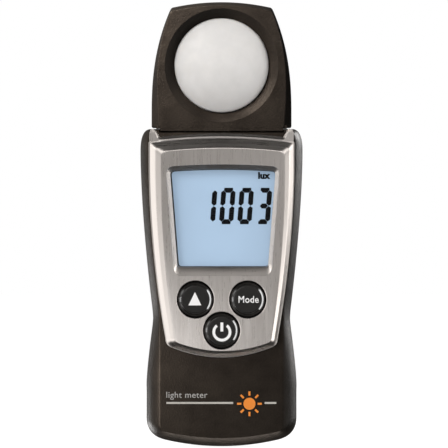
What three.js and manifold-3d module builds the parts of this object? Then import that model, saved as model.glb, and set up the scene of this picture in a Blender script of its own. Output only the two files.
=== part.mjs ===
// Pocket light meter: a waisted two-shell housing with a brushed bezel, a display, three keys, a sensor head
// with a white diffuser dome, a battery compartment with a sliding door, and the electronics inside.
// Millimetres. +X is the user's right, +Z points to the sensor head, and the display faces -Y.
// The origin is at the middle of the bounding box, at the lowest point of the housing.
import * as THREE from "three";
import { mergeVertices } from "three/addons/utils/BufferGeometryUtils.js";
import Module from "manifold-3d";

const wasm = await Module();
wasm.setup();

// ---- Driving dimensions -------------------------------------------------------------------------------

const BODY_TOP = 90; // top of the housing, where the head plugs in
const BODY_HALF = 23; // half width at the shoulder, the widest place
const WAIST_HALF = 19.3;
const GRIP_HALF = 21.3;
const SHOULDER_Z = 83;
const WAIST_Z = 36.4;
const GRIP_Z = 18;
const BOTTOM_CURVE = 0.0072; // the bottom edge is z = BOTTOM_CURVE * x * x
const WALL = 1.6;

const FACE_Y = -12; // flat face of the bezel
const FRONT_Y = -10; // flat front of the front case
const REAR_Y = 12; // flat back
const SPLIT_Y = 1; // where the two cases meet
const SPLIT_GAP = 0.1;
const INNER_FRONT_Y = FRONT_Y + WALL;
const APRON_HALF = 17.5; // half width of the flat front below the bezel
const FRONT_BEVEL = { bottom: 2.5, top: 1 }; // how far the front face is set in from the outline
const REAR_BEVEL = 2.2;

const BEZEL_BACK_Y = -10.05;
const BEZEL_RIM_Y = -10.5;
const BEZEL = { half: 20.6, taper: 4.95, shoulder: 80, foot: 29.5, bottom: 25.5, curve: 0.0138 };
const BEZEL_BEVEL = { side: 3.3, bottom: 2.1, top: 5.2 };
const NOTCH = { half: 17.4, bottom: 88.4 }; // the gap in the bezel's top edge, between its two horns

const WINDOW = { x: 0.35, topHalf: 15, bottomHalf: 12.8, top: 78.6, bottom: 50.9, arch: 0.0025, corner: 1.2 };
const LENS_MARGIN = 0.9;
const LENS_BACK_Y = -8.9;
const SEAT_GAP = 0.2;

const KEY_RADIUS = 5.05;
const KEY_HOLE = 5.25;
const KEY_FLANGE = 5.55;
const KEY_TOP_RADIUS = 4;
const KEY_TOP_Y = -11.5;
const KEYS = { up: [-7.4, 41.7], mode: [7.4, 41.7], power: [0, 32.9] };

const HEAD = { bottom: 90.3, top: 125.95, half: 19.85, taper: 5.6, shoulder: 94, corner: 124.4, curve: 0.008 };
const HEAD_FRONT_Y = -8.2;
const HEAD_REAR_Y = 7.5;
const HEAD_SPLIT_Y = 0;
const DOME_Z = 108;
const DOME_RADIUS = 13.3;
const DOME_APEX_Y = -11.4;
const DOME_RIM_Y = -6;
const DOME_WALL = 1.5;
const CONE = { outer: 16.05, inner: 13.6, floorY: -5.6 };
const LIP_Y = -4.5; // inner face of the lip that holds the dome's flange
const NECK = { half: 16, front: -6.2, rear: 5.9, bottom: 84.2 };
const COLLAR = { half: 17.6, front: -7.2, rear: 6.9, top: 87.8 };

const PCB = { front: -3.1, thick: 1.6, half: 15.2, topHalf: 16.4, bottom: 22, step: 50, top: 83.6 };
const CELL = { radius: 5.2, length: 44.4, x: 5.5, y: 4.7, nub: 1.9, nubLength: 0.9 };
const TRAY = { half: 12.4, bottom: 8.8, top: 59.2, floorY: -1.4, wall: 1.2, floor: 0.8 };
const DOOR = { half: 13.5, tongue: 14.3, top: 60.3, innerY: 10.4, tongueY: 11.1, gap: 0.2, ledge: 16.2 };
const SCREWS = { upper: [18.7, 80], lower: [16.6, 16] };
const SCREW = { head: 1.6, headTopY: 9.9, headHeight: 1, shank: 0.9, tipY: -3 };
const POST_RADIUS = 1.9;
const LABEL = { half: 13, bottom: 66, top: 82, depth: 0.25, thick: 0.15 };

const ROUND = 36; // sides of a large cylinder
const SMALL_ROUND = 16;

// ---- Solids -------------------------------------------------------------------------------------------

// A closed geometry as a manifold-3d solid with its faces pointing out.
function solid(geometry) {
  const bare = new THREE.BufferGeometry().setAttribute("position", geometry.getAttribute("position").clone());
  if (geometry.index) bare.setIndex(geometry.index.clone());
  const merged = mergeVertices(bare, 1e-4);
  const corners = [];
  for (let i = 0; i < merged.index.count; i += 3) {
    const [a, b, c] = [0, 1, 2].map((k) => merged.index.getX(i + k));
    if (a !== b && b !== c && c !== a) corners.push(a, b, c);
  }
  const vertProperties = new Float32Array(merged.attributes.position.array);
  const make = (triVerts) => new wasm.Manifold(new wasm.Mesh({ numProp: 3, vertProperties, triVerts }));
  const made = make(new Uint32Array(corners));
  return made.volume() > 0 ? made : make(new Uint32Array(corners.reverse()));
}

// A manifold-3d solid as a three.js geometry.
function geometryOf(made) {
  const mesh = made.getMesh();
  const positions = new Float32Array(mesh.numVert * 3);
  for (let i = 0; i < mesh.numVert; i++) {
    positions.set(mesh.vertProperties.subarray(i * mesh.numProp, i * mesh.numProp + 3), i * 3);
  }
  const geometry = new THREE.BufferGeometry();
  geometry.setAttribute("position", new THREE.BufferAttribute(positions, 3));
  geometry.setIndex(new THREE.BufferAttribute(new Uint32Array(mesh.triVerts), 1));
  geometry.computeVertexNormals();
  return geometry;
}

const joined = (...solids) => solids.reduce((all, next) => all.add(next));
const cut = (base, ...tools) => tools.reduce((left, tool) => left.subtract(tool), base);

// A solid through outlines at several depths. Each level is { y, outline }, with as many points in each.
function loft(levels) {
  const count = levels[0].outline.length;
  const positions = [];
  const index = [];
  for (const { y, outline } of levels) for (const p of outline) positions.push(p.x, y, p.y);
  for (let level = 0; level + 1 < levels.length; level++) {
    for (let i = 0; i < count; i++) {
      const [a, b] = [level * count + i, level * count + ((i + 1) % count)];
      index.push(a, b, b + count, a, b + count, a + count);
    }
  }
  const last = (levels.length - 1) * count;
  for (const [a, b, c] of THREE.ShapeUtils.triangulateShape(levels[0].outline, [])) index.push(a, c, b);
  for (const [a, b, c] of THREE.ShapeUtils.triangulateShape(levels.at(-1).outline, [])) {
    index.push(last + a, last + b, last + c);
  }
  const geometry = new THREE.BufferGeometry();
  geometry.setAttribute("position", new THREE.Float32BufferAttribute(positions, 3));
  geometry.setIndex(index);
  return solid(geometry);
}

const box = (x0, x1, y0, y1, z0, z1) =>
  solid(
    new THREE.BoxGeometry(x1 - x0, y1 - y0, z1 - z0).translate((x0 + x1) / 2, (y0 + y1) / 2, (z0 + z1) / 2),
  );

// A cylinder along Y from y0 to y1.
const rod = (radius, y0, y1, x, z, sides = SMALL_ROUND) =>
  solid(new THREE.CylinderGeometry(radius, radius, y1 - y0, sides).translate(x, (y0 + y1) / 2, z));

// A profile of [radius, y] points turned about the axis along Y at (x, z).
const turned = (profile, x, z, sides = ROUND) =>
  solid(new THREE.LatheGeometry(profile.map(([r, y]) => new THREE.Vector2(r, y)), sides).translate(x, 0, z));

// A cylinder along Z from z0 to z1.
function upright(radius, z0, z1, x, y, sides = SMALL_ROUND) {
  const cylinder = new THREE.CylinderGeometry(radius, radius, z1 - z0, sides);
  return solid(cylinder.rotateX(Math.PI / 2).translate(x, y, (z0 + z1) / 2));
}

// ---- Outlines, in the plane of X and Z ----------------------------------------------------------------

const lerp = THREE.MathUtils.lerp;

// Points of a rounded corner after its first point, as a quadratic Bezier curve.
function corner(from, tip, to, steps) {
  const curve = new THREE.QuadraticBezierCurve(from, tip, to);
  return curve.getPoints(steps).slice(1);
}

// A closed outline from its right half, which runs up from the middle of the bottom to the middle of the top.
function mirrored(half) {
  const left = half.slice(1, -1).reverse();
  return [...half, ...left.map((p) => new THREE.Vector2(-p.x, p.y))];
}

// An outline with curved sides and rounded corners. halfWidth and bottomAt are functions of z and of x.
function sidedOutline(shape) {
  const { halfWidth, bottomAt, topAt, foot, shoulder, stations, arcSteps = 5, cornerSteps = 5 } = shape;
  const low = bottomAt(halfWidth(bottomAt(foot.x) + foot.z));
  const sideStart = low + foot.z;
  const xLow = halfWidth(sideStart);
  const xArc = xLow - foot.x;
  const points = [];
  for (let i = 0; i <= arcSteps; i++) {
    const x = (xArc * i) / arcSteps;
    points.push(new THREE.Vector2(x, bottomAt(x)));
  }
  const side = (z) => new THREE.Vector2(halfWidth(z), z);
  points.push(...corner(points.at(-1), new THREE.Vector2(xLow, low), side(sideStart), cornerSteps));
  points.push(...stations.map(side));
  const xTop = halfWidth(topAt(0) - shoulder.z);
  const sideEnd = topAt(xTop) - shoulder.z;
  points.push(side(sideEnd));
  const xEdge = halfWidth(sideEnd) - shoulder.x;
  const tip = new THREE.Vector2(halfWidth(topAt(xTop)), topAt(xTop));
  points.push(...corner(side(sideEnd), tip, new THREE.Vector2(xEdge, topAt(xEdge)), cornerSteps));
  points.push(new THREE.Vector2(xEdge / 2, topAt(xEdge / 2)), new THREE.Vector2(0, topAt(0)));
  return mirrored(points);
}

// Half width of the housing: widest at the shoulder, with a crease at the waist.
function bodyHalf(z) {
  if (z >= WAIST_Z) {
    const rise = Math.min(1, (z - WAIST_Z) / (SHOULDER_Z - WAIST_Z));
    return BODY_HALF - (BODY_HALF - WAIST_HALF) * (1 - rise) ** 1.6;
  }
  const rise = Math.max(0, (z - GRIP_Z) / (WAIST_Z - GRIP_Z));
  return GRIP_HALF - (GRIP_HALF - WAIST_HALF) * rise ** 1.3;
}

function bezelHalf(z) {
  const drop = Math.max(0, (BEZEL.shoulder - z) / (BEZEL.shoulder - BEZEL.foot));
  return BEZEL.half - BEZEL.taper * drop ** 1.85;
}

// Half width of the front case's flat front: the bezel's edge above, and a straight crease below it.
const frontHalf = (z) => Math.max(bezelHalf(z) + 0.15, APRON_HALF);

function headHalf(z) {
  const rise = Math.max(0, (z - HEAD.shoulder) / (HEAD.corner - HEAD.shoulder));
  return HEAD.half - HEAD.taper * Math.min(1, rise) ** 2.45;
}

const BODY_STATIONS = [12, 20, 26, 31, WAIST_Z, 42, 50, 60, 70, 78];

// The housing's outline, with share from 0, at the split, to 1, at the flat front or back.
function bodyOutline(share, wall, inset, bottom, top) {
  return sidedOutline({
    halfWidth: (z) => bodyHalf(z) - share * inset(z) - wall,
    bottomAt: (x) => BOTTOM_CURVE * x * x + share * bottom + wall,
    topAt: () => BODY_TOP - share * top - wall,
    foot: { x: lerp(5, 1.5, share), z: lerp(5, 1.5, share) },
    shoulder: { x: lerp(3, 1.5, share), z: lerp(6, 2.5, share) },
    stations: BODY_STATIONS,
  });
}

// A stretch of the housing's front half, set in by wall. Its bevel grows with the fourth power of the depth.
function frontLoft(depths, wall = 0) {
  const level = (y) => {
    const share = Math.min(1, Math.max(0, (SPLIT_Y - y) / (SPLIT_Y - FRONT_Y))) ** 4;
    const inset = (z) => bodyHalf(z) - frontHalf(z);
    return { y, outline: bodyOutline(share, wall, inset, FRONT_BEVEL.bottom, FRONT_BEVEL.top) };
  };
  return loft(depths.map(level));
}

function rearLoft(depths, wall = 0) {
  const level = (y) => {
    const share = Math.min(1, Math.max(0, (y - SPLIT_Y) / (REAR_Y - SPLIT_Y))) ** 4;
    return { y, outline: bodyOutline(share, wall, () => REAR_BEVEL, REAR_BEVEL, REAR_BEVEL) };
  };
  return loft(depths.map(level));
}

// The window's outline grown by margin, and by lower at its bottom. It is narrower below and arched on top.
function windowOutline(margin, lower = margin) {
  const rise = (z) => (z - WINDOW.bottom) / (WINDOW.top - WINDOW.bottom);
  const outline = sidedOutline({
    halfWidth: (z) => lerp(WINDOW.bottomHalf, WINDOW.topHalf, rise(z)) + margin,
    bottomAt: () => WINDOW.bottom - lower,
    topAt: (x) => WINDOW.top + margin - WINDOW.arch * x * x,
    foot: { x: WINDOW.corner, z: WINDOW.corner },
    shoulder: { x: WINDOW.corner, z: WINDOW.corner },
    stations: [],
    arcSteps: 1,
    cornerSteps: 4,
  });
  return outline.map((p) => new THREE.Vector2(p.x + WINDOW.x, p.y));
}

const windowBlock = (margin, y0, y1) =>
  loft([
    { y: y0, outline: windowOutline(margin) },
    { y: y1, outline: windowOutline(margin) },
  ]);

// ---- Housing ------------------------------------------------------------------------------------------

const screwPlaces = Object.values(SCREWS).flatMap(([x, z]) => [
  [-x, z],
  [x, z],
]);

// The space that the head's neck takes through the housing's top wall.
const neckSlot = () =>
  box(-NECK.half - SEAT_GAP, NECK.half + SEAT_GAP, NECK.front - SEAT_GAP, NECK.rear + SEAT_GAP, 86, 95);

function frontCase() {
  const shell = cut(
    frontLoft([SPLIT_Y, -3, -5.5, -7, -8.5, -9.5, FRONT_Y]),
    frontLoft([SPLIT_Y + 0.5, -3, -5.5, -7, INNER_FRONT_Y], WALL),
  );
  const posts = screwPlaces.map(([x, z]) => rod(POST_RADIUS, INNER_FRONT_Y - 0.4, SPLIT_Y - 0.1, x, z));
  const holes = screwPlaces.map(([x, z]) => rod(SCREW.shank + 0.1, SCREW.tipY - 1, SPLIT_Y + 0.5, x, z, 12));
  const keyHoles = Object.values(KEYS).map(([x, z]) => rod(KEY_HOLE, -11, -8, x, z, ROUND));
  const seat = windowBlock(LENS_MARGIN + SEAT_GAP, -11, LENS_BACK_Y + 0.05);
  const opening = windowBlock(0.1, -11, -8);
  return cut(joined(shell, ...posts), ...holes, ...keyHoles, seat, opening, neckSlot());
}

function rearCase() {
  const start = SPLIT_Y + SPLIT_GAP;
  const outer = rearLoft([start, 5, 7.5, 9.3, 10.7, REAR_Y]);
  const shell = cut(outer, rearLoft([start - 0.5, 5, 7.5, 9.3, REAR_Y - WALL], WALL));
  const boss = ([x, z]) => rod(POST_RADIUS + 0.4, start, REAR_Y - 1, x, z).intersect(outer);
  const bosses = screwPlaces.map(boss);
  const tray = box(-TRAY.half, TRAY.half, TRAY.floorY, DOOR.innerY + 0.4, TRAY.bottom, TRAY.top);
  const pocket = box(
    -TRAY.half + TRAY.wall,
    TRAY.half - TRAY.wall,
    TRAY.floorY + TRAY.floor,
    REAR_Y + 1,
    TRAY.bottom + TRAY.wall,
    TRAY.top - TRAY.wall,
  );
  const ledge = box(-DOOR.ledge, DOOR.ledge, 9, REAR_Y - 1, 1, DOOR.top + 2.2).intersect(outer);
  const channel = doorSpace(DOOR.gap);
  const holes = screwPlaces.flatMap(([x, z]) => [
    rod(SCREW.shank + 0.2, 0, REAR_Y, x, z, 12),
    rod(SCREW.head + 0.2, SCREW.headTopY - SCREW.headHeight - 0.1, REAR_Y + 1, x, z),
  ]);
  const recess = box(-LABEL.half, LABEL.half, REAR_Y - LABEL.depth, REAR_Y + 1, LABEL.bottom, LABEL.top);
  return cut(joined(shell, ...bosses, tray, ledge), pocket, channel, ...holes, recess, neckSlot());
}

// The two-step slot that the battery door slides in, open at the housing's lower end, grown by gap.
function doorSpace(gap) {
  const low = -5;
  return joined(
    box(-DOOR.tongue - gap, DOOR.tongue + gap, DOOR.innerY - gap, DOOR.tongueY + gap, low, DOOR.top + gap),
    box(-DOOR.half - gap, DOOR.half + gap, DOOR.tongueY, REAR_Y + 1, low, DOOR.top + gap),
  );
}

function batteryDoor() {
  const plate = doorSpace(0).intersect(rearLoft([8, 9.3, 10.7, REAR_Y]));
  const grooves = [0, 1, 2, 3, 4].map((i) => {
    const z = 50 - 1.8 * i;
    return box(-5 + 0.6 * i, 5 - 0.6 * i, REAR_Y - 0.4, REAR_Y + 1, z, z + 0.9);
  });
  return cut(plate, ...grooves);
}

function bezel() {
  const outline = (share) =>
    sidedOutline({
      halfWidth: (z) => bezelHalf(z) - share * BEZEL_BEVEL.side,
      bottomAt: (x) => BEZEL.bottom + BEZEL.curve * x * x + share * BEZEL_BEVEL.bottom,
      topAt: (x) => BODY_TOP - share * (BEZEL_BEVEL.top + 0.0045 * x * x),
      foot: { x: lerp(2, 1.2, share), z: lerp(2, 1.2, share) },
      shoulder: { x: lerp(2.2, 1, share), z: lerp(3, 1, share) },
      stations: [34, 40, 48, 56, 64, 72, 80],
    });
  const plate = loft([
    { y: BEZEL_BACK_Y, outline: outline(0) },
    { y: BEZEL_RIM_Y, outline: outline(0) },
    { y: FACE_Y, outline: outline(1) },
  ]);
  const notch = box(-NOTCH.half, NOTCH.half, -13, -9, NOTCH.bottom, BODY_TOP + 1);
  const window = loft([
    { y: -9, outline: windowOutline(0) },
    { y: -11.3, outline: windowOutline(0) },
    { y: FACE_Y - 0.2, outline: windowOutline(1.4, 2.9) },
  ]);
  const wells = Object.values(KEYS).map(([x, z]) => rod(KEY_HOLE, -13, -9, x, z, ROUND));
  return cut(plate, notch, window, ...wells);
}

const lens = () => windowBlock(LENS_MARGIN, LENS_BACK_Y - 1, LENS_BACK_Y);

// ---- Keys and switches --------------------------------------------------------------------------------

const KEY_FLANGE_Y = [INNER_FRONT_Y + 0.15, INNER_FRONT_Y + 0.9];

function keyCap([x, z]) {
  const [top, under] = KEY_FLANGE_Y;
  const profile = [
    [0, KEY_TOP_Y],
    [KEY_TOP_RADIUS, KEY_TOP_Y],
    [KEY_TOP_RADIUS + 0.6, KEY_TOP_Y + 0.15],
    [KEY_RADIUS, KEY_TOP_Y + 0.6],
    [KEY_RADIUS, top],
    [KEY_FLANGE, top],
    [KEY_FLANGE, under],
    [0, under],
  ];
  return turned(profile, x, z, 28);
}

const SWITCH_TOP_Y = -6.2;
const plunger = ([x, z]) => rod(1.6, KEY_FLANGE_Y[1] + 0.05, SWITCH_TOP_Y + 1.6, x, z, 12);

function switchBody([x, z]) {
  const block = box(x - 3, x + 3, SWITCH_TOP_Y, PCB.front - 0.05, z - 3, z + 3);
  return cut(block, rod(1.8, SWITCH_TOP_Y - 1, SWITCH_TOP_Y + 2.5, x, z, 12));
}

// ---- Display and main board ---------------------------------------------------------------------------

const lcdGlass = () => box(-16, 16, -8.3, -6.3, 48.8, 80.6);
const backlight = () => box(-15.4, 15.4, -6.2, -4.4, 51.6, 80.2);
const zebraStrip = () => box(-14, 14, -6.2, PCB.front - 0.05, 49.2, 50.9);
const lcdFrame = () =>
  cut(box(-16.65, 16.65, -8.3, PCB.front - 0.05, 48, 81.4), box(-16.1, 16.1, -9, -2, 48.6, 80.8));

function mainBoard() {
  const back = PCB.front + PCB.thick;
  return joined(
    box(-PCB.half, PCB.half, PCB.front, back, PCB.bottom, PCB.step),
    box(-PCB.topHalf, PCB.topHalf, PCB.front, back, PCB.step - 0.01, PCB.top),
  );
}

const BOARD_BACK = PCB.front + PCB.thick + 0.05;
const microcontroller = () => box(-5, 5, BOARD_BACK, BOARD_BACK + 1.2, 63, 73);
const crystal = () => box(7.2, 10.4, BOARD_BACK, BOARD_BACK + 1, 65, 69.5);
const capacitor = () => rod(2.6, BOARD_BACK, BOARD_BACK + 5, -10.5, 68);
const sensorSocket = () => box(-5.5, 5.5, BOARD_BACK, BOARD_BACK + 1.5, 76, 79.5);

// ---- Batteries ----------------------------------------------------------------------------------------

const TRAY_LOW = TRAY.bottom + TRAY.wall;
const TRAY_HIGH = TRAY.top - TRAY.wall;
const CONTACT = 0.4;

// A cell whose positive end points up or down, pushed against the contact at that end.
function cell(x, up) {
  const end = up ? TRAY_HIGH - CONTACT - 0.15 : TRAY_LOW + CONTACT + 0.15;
  const sign = up ? -1 : 1;
  const shoulder = end + sign * CELL.nubLength;
  const tail = end + sign * CELL.length;
  const [a, b] = [shoulder, tail].sort((p, q) => p - q);
  const [c, d] = [end, shoulder + sign].sort((p, q) => p - q);
  return joined(upright(CELL.radius, a, b, x, CELL.y, 24), upright(CELL.nub, c, d, x, CELL.y, 12));
}

// A coiled contact spring between heights z0 and z1, wound round the cell's axis.
function contactSpring(x, z0, z1) {
  const wire = 0.3;
  const turns = 3;
  class Coil extends THREE.Curve {
    getPoint(t, target = new THREE.Vector3()) {
      const turn = t * turns * 2 * Math.PI;
      const radius = 3.4 - 1.2 * (z0 < 30 ? t : 1 - t);
      const z = lerp(z0 + wire, z1 - wire, t);
      return target.set(x + radius * Math.cos(turn), CELL.y + radius * Math.sin(turn), z);
    }
  }
  const section = new THREE.Shape(new THREE.EllipseCurve(0, 0, wire, wire).getPoints(6).slice(0, 6));
  return solid(new THREE.ExtrudeGeometry(section, { steps: 36, extrudePath: new Coil(), curveSegments: 6 }));
}

const contactPlate = (x0, x1, z) => box(x0, x1, 0.4, 9, z, z + CONTACT);

// A round wire along a smooth curve through points.
function wire(points, radius) {
  const path = new THREE.CatmullRomCurve3(points.map((p) => new THREE.Vector3(...p)));
  const section = new THREE.Shape(new THREE.EllipseCurve(0, 0, radius, radius).getPoints(8).slice(0, 8));
  return solid(new THREE.ExtrudeGeometry(section, { steps: 10, extrudePath: path, curveSegments: 8 }));
}

// A lead from a contact plate, over the top of the tray, to the back of the main board.
function batteryLead(x) {
  const route = [
    [x, 5, TRAY.top + 0.9],
    [x, 2, TRAY.top + 1.2],
    [x, 0.2, TRAY.top + 1.6],
    [x, BOARD_BACK, TRAY.top + 1.7],
  ];
  return wire(route, 0.6);
}

// ---- Fasteners and label ------------------------------------------------------------------------------

function screw([x, z]) {
  const under = SCREW.headTopY - SCREW.headHeight;
  const head = rod(SCREW.head, under, SCREW.headTopY, x, z);
  const shank = rod(SCREW.shank, SCREW.tipY, under + 0.1, x, z, 12);
  const slots = [box(x - 0.9, x + 0.9, SCREW.headTopY - 0.5, 11, z - 0.2, z + 0.2)];
  slots.push(box(x - 0.2, x + 0.2, SCREW.headTopY - 0.5, 11, z - 0.9, z + 0.9));
  return cut(joined(head, shank), ...slots);
}

function label() {
  const back = REAR_Y - LABEL.depth + 0.05;
  const half = LABEL.half - 0.1;
  return box(-half, half, back, back + LABEL.thick, LABEL.bottom + 0.1, LABEL.top - 0.1);
}

// ---- Sensor head --------------------------------------------------------------------------------------

// The head's outline, with share from 0, at its split, to 1, at its flat front or back.
function headOutline(share, wall = 0) {
  const bevel = (z) => 0.4 + 1.8 * Math.max(0, (HEAD.corner - z) / (HEAD.corner - HEAD.bottom)) ** 1.5;
  return sidedOutline({
    halfWidth: (z) => headHalf(z) - share * bevel(z) - wall,
    bottomAt: () => HEAD.bottom + wall,
    topAt: (x) => HEAD.top - HEAD.curve * x * x - share - wall,
    foot: { x: 0.6, z: 0.6 },
    shoulder: { x: 0.9, z: 0.9 },
    stations: [94, 98, 102, 106, 110, 114, 118, 121],
    arcSteps: 1,
    cornerSteps: 3,
  });
}

const headLoft = (levels, wall) =>
  loft(levels.map(([y, share]) => ({ y, outline: headOutline(share, wall) })));

// The neck below the head, between two depths: a collar inside the housing and a stem through its wall.
function neck(y0, y1) {
  const collarFront = Math.max(y0, COLLAR.front);
  const collarRear = Math.min(y1, COLLAR.rear);
  const stemFront = Math.max(y0, NECK.front);
  const stemRear = Math.min(y1, NECK.rear);
  return joined(
    box(-COLLAR.half, COLLAR.half, collarFront, collarRear, NECK.bottom, COLLAR.top),
    box(-NECK.half, NECK.half, stemFront, stemRear, NECK.bottom, HEAD.bottom + 1),
  );
}

// The way for the flat cable through the neck.
const cableWay = () => box(-12, 12, -3, 4, 80, 97);

function headFront() {
  const end = HEAD_SPLIT_Y - SPLIT_GAP / 2;
  const outer = headLoft([[end, 0], [-5.2, 0.06], [-6.8, 0.4], [HEAD_FRONT_Y, 1]]);
  const corners = headLoft([[end + 1, 0], [-5.2, 0.06], [-6.6, 0.4]], WALL);
  const drum = rod(17, -9, LIP_Y, 0, DOME_Z, ROUND);
  const seat = rod(15.4, LIP_Y, 2, 0, DOME_Z, ROUND);
  const cone = turned(
    [
      [0, HEAD_FRONT_Y - 0.5],
      [CONE.outer + 0.47, HEAD_FRONT_Y - 0.5],
      [CONE.inner, CONE.floorY],
      [DOME_RADIUS + 0.15, CONE.floorY],
      [DOME_RADIUS + 0.15, LIP_Y + 0.5],
      [0, LIP_Y + 0.5],
    ],
    0,
    DOME_Z,
    48,
  );
  return cut(joined(cut(outer, cut(corners, drum)), neck(-20, end)), seat, cone, cableWay());
}

function headRear() {
  const start = HEAD_SPLIT_Y + SPLIT_GAP / 2;
  const outer = headLoft([[start, 0], [5, 0.08], [6.5, 0.45], [HEAD_REAR_Y, 1]]);
  const hollow = headLoft([[start - 1, 0], [HEAD_REAR_Y - WALL, 0.1]], WALL);
  const posts = [-1, 1].map((side) => rod(1.5, SENSOR_Y + 1.25, HEAD_REAR_Y - 1, side * 8.5, DOME_Z, 12));
  return cut(joined(cut(outer, hollow), neck(start, 20), ...posts), cableWay());
}

function diffuserDome() {
  const cap = (radius, rimY, apexY, steps) => {
    const height = rimY - apexY;
    const sphere = (radius * radius + height * height) / (2 * height);
    const reach = Math.asin(radius / sphere);
    return Array.from({ length: steps + 1 }, (_, i) => {
      const angle = (reach * i) / steps;
      return [sphere * Math.sin(angle), apexY + sphere * (1 - Math.cos(angle))];
    });
  };
  const outside = cap(DOME_RADIUS, DOME_RIM_Y, DOME_APEX_Y, 7);
  const inside = cap(DOME_RADIUS - DOME_WALL, DOME_RIM_Y, DOME_APEX_Y + DOME_WALL, 4).reverse();
  const flange = 14.9;
  const profile = [
    ...outside,
    [DOME_RADIUS, LIP_Y + 0.05],
    [flange, LIP_Y + 0.05],
    [flange, LIP_Y + 1],
    [DOME_RADIUS - DOME_WALL, LIP_Y + 1],
    ...inside,
  ];
  return turned(profile, 0, DOME_Z, ROUND);
}

const ring = (outer, inner, y0, y1, sides) =>
  cut(rod(outer, y0, y1, 0, DOME_Z, sides), rod(inner, y0 - 1, y1 + 1, 0, DOME_Z, sides));

const SENSOR_Y = 0.6; // front of the sensor board
const domeRing = () => ring(15.1, 11.6, LIP_Y + 1.05, LIP_Y + 2, ROUND);
const filterGlass = () => rod(4.95, -3.1, -1.7, 0, DOME_Z, 20);
const filterHolder = () =>
  cut(ring(6.6, 4.4, -3.3, SENSOR_Y - 0.05, 20), rod(5.15, -4, -1.6, 0, DOME_Z, 20));
const photodiode = () => rod(4.1, -1.2, SENSOR_Y - 0.05, 0, DOME_Z, 20);
const sensorBoard = () => rod(11.5, SENSOR_Y, SENSOR_Y + 1.2, 0, DOME_Z, 32);

// The flat cable from the sensor board down the neck to the socket on the main board, as a bent ribbon.
function flatCable() {
  const thick = 0.3;
  const route = [
    [2.05, 104],
    [2.1, 98],
    [1.9, 91],
    [0.9, 85],
    [-0.55, 82],
    [-0.7, 79.8],
  ];
  const middle = new THREE.SplineCurve(route.map(([y, z]) => new THREE.Vector2(y, z)));
  const sides = middle.getPoints(16).map((p, i) => {
    const along = middle.getTangent(i / 16);
    const across = new THREE.Vector2(-along.y, along.x).multiplyScalar(thick / 2);
    return [p.clone().add(across), p.clone().sub(across)];
  });
  const outline = [...sides.map(([a]) => a), ...sides.map(([, b]) => b).reverse()];
  const width = 8;
  const ribbon = new THREE.ExtrudeGeometry(new THREE.Shape(outline), { depth: width, bevelEnabled: false });
  ribbon.applyMatrix4(new THREE.Matrix4().set(0, 0, 1, -width / 2, 1, 0, 0, 0, 0, 1, 0, 0, 0, 0, 0, 1));
  return solid(ribbon);
}

// ---- Assembly -----------------------------------------------------------------------------------------

const MATERIALS = {
  dark_shell: { color: 0x2e2b29, roughness: 0.6, metalness: 0 },
  brushed_bezel: { color: 0xa39b95, roughness: 0.35, metalness: 0.9 },
  clear_lens: { color: 0xdfe8ee, roughness: 0.05, metalness: 0, transparent: true, opacity: 0.35 },
  lcd: { color: 0xa0b6ce, roughness: 0.4, metalness: 0 },
  key_black: { color: 0x171615, roughness: 0.25, metalness: 0 },
  opal: { color: 0xe6e4e6, roughness: 0.35, metalness: 0 },
  white_plastic: { color: 0xe8e8e4, roughness: 0.5, metalness: 0 },
  board_green: { color: 0x1f5a38, roughness: 0.5, metalness: 0 },
  chip_black: { color: 0x1a1a1c, roughness: 0.5, metalness: 0 },
  spring_steel: { color: 0xc4c4c0, roughness: 0.3, metalness: 1 },
  rubber: { color: 0x3b3b3d, roughness: 0.8, metalness: 0 },
  cell_wrap: { color: 0x3c5a78, roughness: 0.35, metalness: 0.2 },
  filter_green: { color: 0x7fae6f, roughness: 0.1, metalness: 0 },
  label_silver: { color: 0xb8b8b4, roughness: 0.5, metalness: 0.3 },
  cable_amber: { color: 0xb5712c, roughness: 0.4, metalness: 0 },
  lead_red: { color: 0xa02020, roughness: 0.5, metalness: 0 },
};

const materials = {};
for (const [name, values] of Object.entries(MATERIALS)) {
  materials[name] = new THREE.MeshStandardMaterial({ name, ...values });
}

const meter = new THREE.Group();
meter.name = "light_meter";

function add(name, made, material) {
  const mesh = new THREE.Mesh(geometryOf(made), materials[material]);
  mesh.name = name;
  meter.add(mesh);
}

add("front_case", frontCase(), "dark_shell");
add("rear_case", rearCase(), "dark_shell");
add("battery_door", batteryDoor(), "dark_shell");
add("bezel", bezel(), "brushed_bezel");
add("display_lens", lens(), "clear_lens");

for (const [name, place] of Object.entries(KEYS)) {
  add(`${name}_key_cap`, keyCap(place), "key_black");
  add(`${name}_switch_plunger`, plunger(place), "white_plastic");
  add(`${name}_switch_body`, switchBody(place), "chip_black");
}

add("lcd_glass", lcdGlass(), "lcd");
add("backlight_panel", backlight(), "white_plastic");
add("zebra_strip", zebraStrip(), "rubber");
add("lcd_frame", lcdFrame(), "white_plastic");
add("main_board", mainBoard(), "board_green");
add("microcontroller", microcontroller(), "chip_black");
add("crystal", crystal(), "spring_steel");
add("capacitor", capacitor(), "spring_steel");
add("sensor_socket", sensorSocket(), "white_plastic");

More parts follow.
